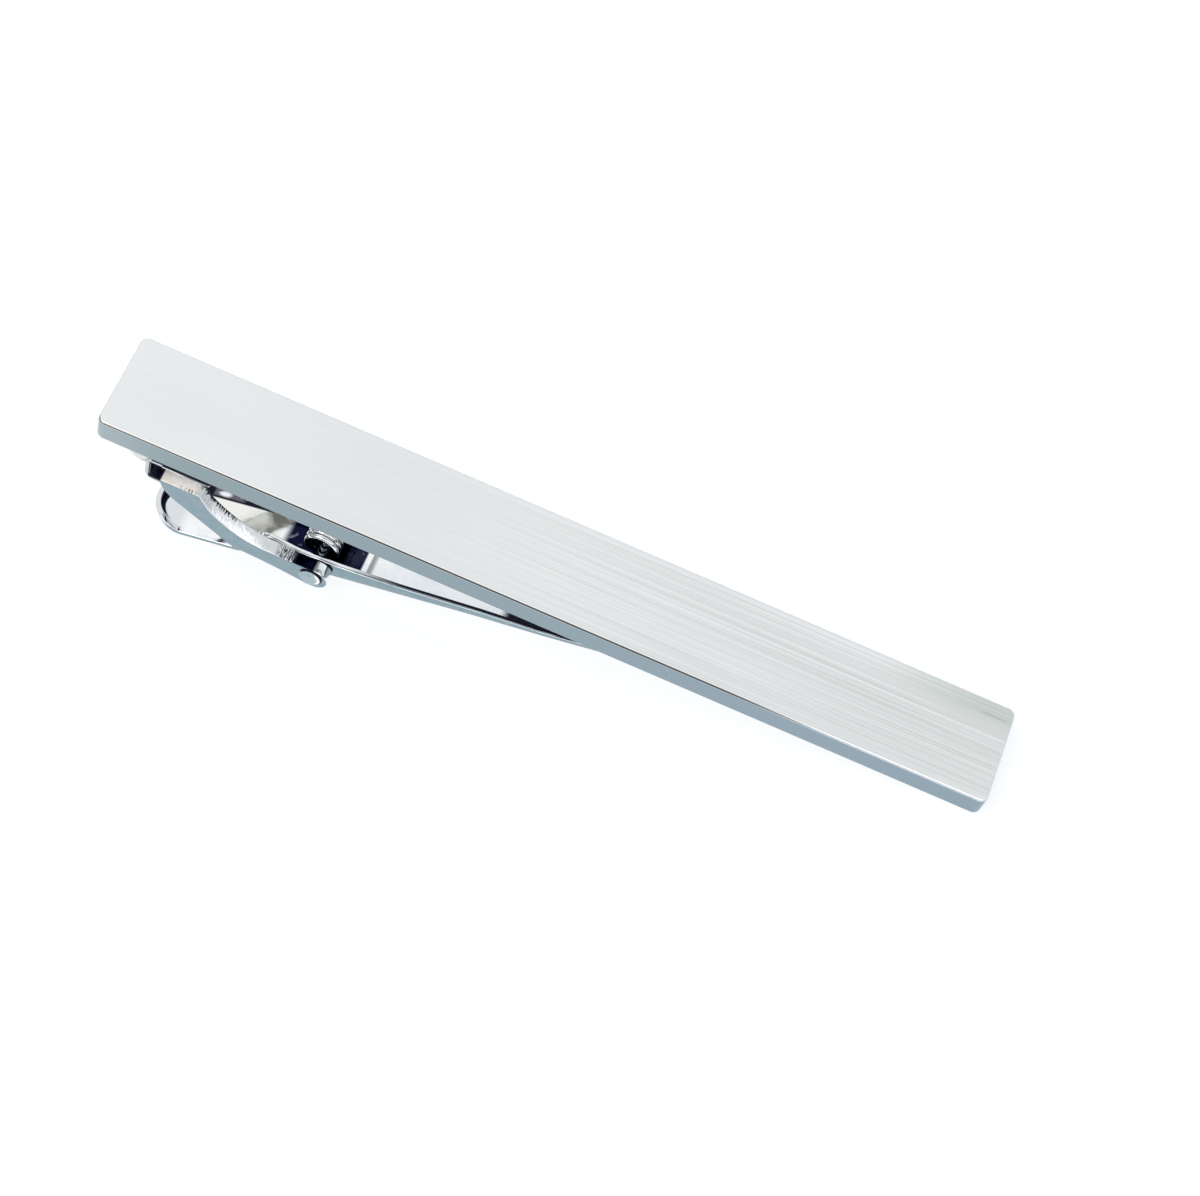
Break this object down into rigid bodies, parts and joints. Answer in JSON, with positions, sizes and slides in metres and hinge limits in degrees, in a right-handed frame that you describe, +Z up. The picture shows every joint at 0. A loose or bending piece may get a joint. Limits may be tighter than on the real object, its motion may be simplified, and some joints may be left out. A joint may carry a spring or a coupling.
{
  "type": "tie clip",
  "caption": "Sprung tie clip: a flat rectangular bar in brushed metal with a pinching lever, wire spring and riveted fork on its back.",
  "frame": {"origin": "centre of the clip's footprint, on the surface that it lies on: it lies shut and face up, resting on the lever's thumb end and on the bar's far lower edge", "axes": "+X runs along the bar, from the hinge end to the far end; +Y runs across it, along the rivet; +Z is up, and the bar slopes down towards +X by 10.56 degrees"},
  "size_m": [0.0544, 0.0066, 0.0117],
  "materials": {
    "brushed_bar": "brushed along the bar on the front, polished sides and back",
    "bright_plate": "bright plated and polished",
    "solder": "smooth solder fillet under the plating",
    "spring_wire": "bright drawn wire"
  },
  "bodies": {
    "bar": {"bar": "brushed_bar", "solder_joint": "solder", "bracket": "bright_plate", "pivot_pin": "bright_plate", "torsion_spring": "spring_wire"},
    "lever": {"lever": "bright_plate"}
  },
  "joints": [
    {"name": "lever_pivot", "type": "hinge", "parent": "bar", "child": "lever", "pos_m": [-0.01438, 0, 0.00189], "axis": [0, 1, 0], "range_deg": [0, 32], "stiffness_Nm_per_rad": 0.0025, "springref_deg": -143.24, "deforming": ["torsion_spring"]}
  ]
}
